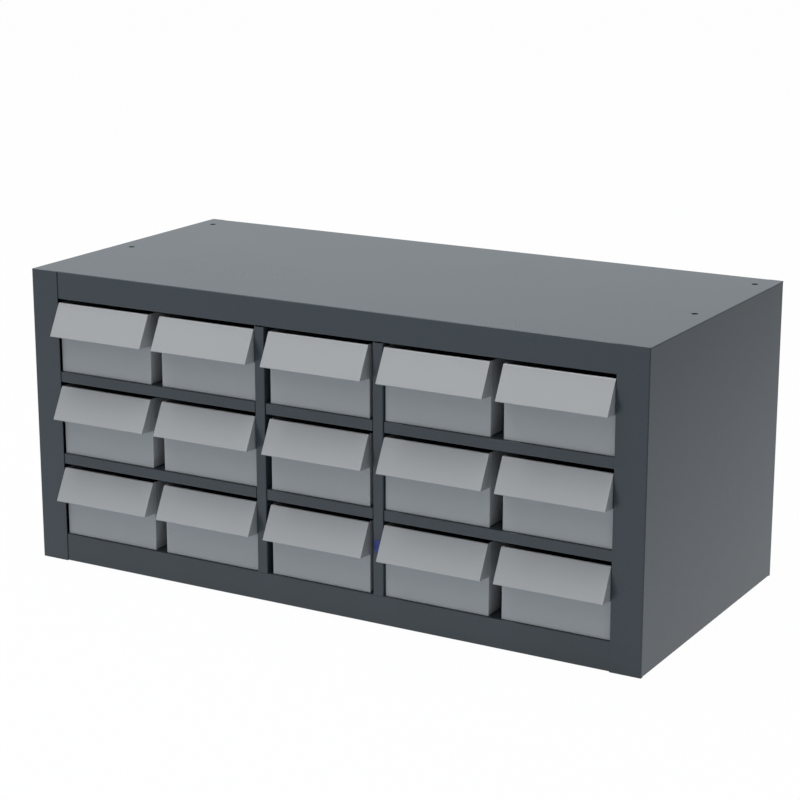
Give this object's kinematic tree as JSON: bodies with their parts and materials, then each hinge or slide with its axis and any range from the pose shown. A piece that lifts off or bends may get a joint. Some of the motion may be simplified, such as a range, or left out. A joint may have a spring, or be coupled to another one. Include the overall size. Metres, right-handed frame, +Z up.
{
  "type": "parts bin cabinet",
  "caption": "Low wide sheet-steel cabinet of sliding parts drawers in rows, each pulled by a full-width sloping lip, with bolt holes in its top and base for stacking.",
  "frame": {"origin": "on the base plane, in the middle of the whole footprint with the drawers' lips", "axes": "+X to the right as one faces the drawers, +Y from the drawers to the back, +Z up"},
  "size_m": [0.9144, 0.4536, 0.4115],
  "materials": {
    "case_paint": "satin dark grey powder coat",
    "drawer_paint": "satin light grey powder coat",
    "sticker_film": "glossy blue self-adhesive film, for the small sticker that only the visual model has"
  },
  "bodies": {
    "case": {"left_side_panel": "case_paint", "right_side_panel": "case_paint", "top_panel": "case_paint", "back_panel": "case_paint", "base_shelf": "case_paint", "lower_shelf": "case_paint", "upper_shelf": "case_paint", "left_mullion": "case_paint", "right_mullion": "case_paint", "bottom_row_left_end_guide": "case_paint", "bottom_row_right_end_guide": "case_paint", "middle_row_left_end_guide": "case_paint", "middle_row_right_end_guide": "case_paint", "top_row_left_end_guide": "case_paint", "top_row_right_end_guide": "case_paint", "bottom_row_left_pair_guide": "case_paint", "bottom_row_left_mullion_guide": "case_paint", "bottom_row_right_mullion_guide": "case_paint", "bottom_row_right_pair_guide": "case_paint", "middle_row_left_pair_guide": "case_paint", "middle_row_left_mullion_guide": "case_paint", "middle_row_right_mullion_guide": "case_paint", "middle_row_right_pair_guide": "case_paint", "top_row_left_pair_guide": "case_paint", "top_row_left_mullion_guide": "case_paint", "top_row_right_mullion_guide": "case_paint", "top_row_right_pair_guide": "case_paint"},
    "bottom_row_drawer_1": {"bottom_row_drawer_1_tray": "drawer_paint", "bottom_row_drawer_1_front": "drawer_paint"},
    "bottom_row_drawer_2": {"bottom_row_drawer_2_tray": "drawer_paint", "bottom_row_drawer_2_front": "drawer_paint"},
    "bottom_row_drawer_3": {"bottom_row_drawer_3_tray": "drawer_paint", "bottom_row_drawer_3_front": "drawer_paint"},
    "bottom_row_drawer_4": {"bottom_row_drawer_4_tray": "drawer_paint", "bottom_row_drawer_4_front": "drawer_paint"},
    "bottom_row_drawer_5": {"bottom_row_drawer_5_tray": "drawer_paint", "bottom_row_drawer_5_front": "drawer_paint"},
    "middle_row_drawer_1": {"middle_row_drawer_1_tray": "drawer_paint", "middle_row_drawer_1_front": "drawer_paint"},
    "middle_row_drawer_2": {"middle_row_drawer_2_tray": "drawer_paint", "middle_row_drawer_2_front": "drawer_paint"},
    "middle_row_drawer_3": {"middle_row_drawer_3_tray": "drawer_paint", "middle_row_drawer_3_front": "drawer_paint"},
    "middle_row_drawer_4": {"middle_row_drawer_4_tray": "drawer_paint", "middle_row_drawer_4_front": "drawer_paint"},
    "middle_row_drawer_5": {"middle_row_drawer_5_tray": "drawer_paint", "middle_row_drawer_5_front": "drawer_paint"},
    "top_row_drawer_1": {"top_row_drawer_1_tray": "drawer_paint", "top_row_drawer_1_front": "drawer_paint"},
    "top_row_drawer_2": {"top_row_drawer_2_tray": "drawer_paint", "top_row_drawer_2_front": "drawer_paint"},
    "top_row_drawer_3": {"top_row_drawer_3_tray": "drawer_paint", "top_row_drawer_3_front": "drawer_paint"},
    "top_row_drawer_4": {"top_row_drawer_4_tray": "drawer_paint", "top_row_drawer_4_front": "drawer_paint"},
    "top_row_drawer_5": {"top_row_drawer_5_tray": "drawer_paint", "top_row_drawer_5_front": "drawer_paint"}
  },
  "joints": [
    {"name": "bottom_row_drawer_1_slide", "type": "slide", "parent": "case", "child": "bottom_row_drawer_1", "axis": [0, -1, 0], "range_m": [0, 0.416]},
    {"name": "bottom_row_drawer_2_slide", "type": "slide", "parent": "case", "child": "bottom_row_drawer_2", "axis": [0, -1, 0], "range_m": [0, 0.416]},
    {"name": "bottom_row_drawer_3_slide", "type": "slide", "parent": "case", "child": "bottom_row_drawer_3", "axis": [0, -1, 0], "range_m": [0, 0.416]},
    {"name": "bottom_row_drawer_4_slide", "type": "slide", "parent": "case", "child": "bottom_row_drawer_4", "axis": [0, -1, 0], "range_m": [0, 0.416]},
    {"name": "bottom_row_drawer_5_slide", "type": "slide", "parent": "case", "child": "bottom_row_drawer_5", "axis": [0, -1, 0], "range_m": [0, 0.416]},
    {"name": "middle_row_drawer_1_slide", "type": "slide", "parent": "case", "child": "middle_row_drawer_1", "axis": [0, -1, 0], "range_m": [0, 0.416]},
    {"name": "middle_row_drawer_2_slide", "type": "slide", "parent": "case", "child": "middle_row_drawer_2", "axis": [0, -1, 0], "range_m": [0, 0.416]},
    {"name": "middle_row_drawer_3_slide", "type": "slide", "parent": "case", "child": "middle_row_drawer_3", "axis": [0, -1, 0], "range_m": [0, 0.416]},
    {"name": "middle_row_drawer_4_slide", "type": "slide", "parent": "case", "child": "middle_row_drawer_4", "axis": [0, -1, 0], "range_m": [0, 0.416]},
    {"name": "middle_row_drawer_5_slide", "type": "slide", "parent": "case", "child": "middle_row_drawer_5", "axis": [0, -1, 0], "range_m": [0, 0.416]},
    {"name": "top_row_drawer_1_slide", "type": "slide", "parent": "case", "child": "top_row_drawer_1", "axis": [0, -1, 0], "range_m": [0, 0.416]},
    {"name": "top_row_drawer_2_slide", "type": "slide", "parent": "case", "child": "top_row_drawer_2", "axis": [0, -1, 0], "range_m": [0, 0.416]},
    {"name": "top_row_drawer_3_slide", "type": "slide", "parent": "case", "child": "top_row_drawer_3", "axis": [0, -1, 0], "range_m": [0, 0.416]},
    {"name": "top_row_drawer_4_slide", "type": "slide", "parent": "case", "child": "top_row_drawer_4", "axis": [0, -1, 0], "range_m": [0, 0.416]},
    {"name": "top_row_drawer_5_slide", "type": "slide", "parent": "case", "child": "top_row_drawer_5", "axis": [0, -1, 0], "range_m": [0, 0.416]}
  ]
}
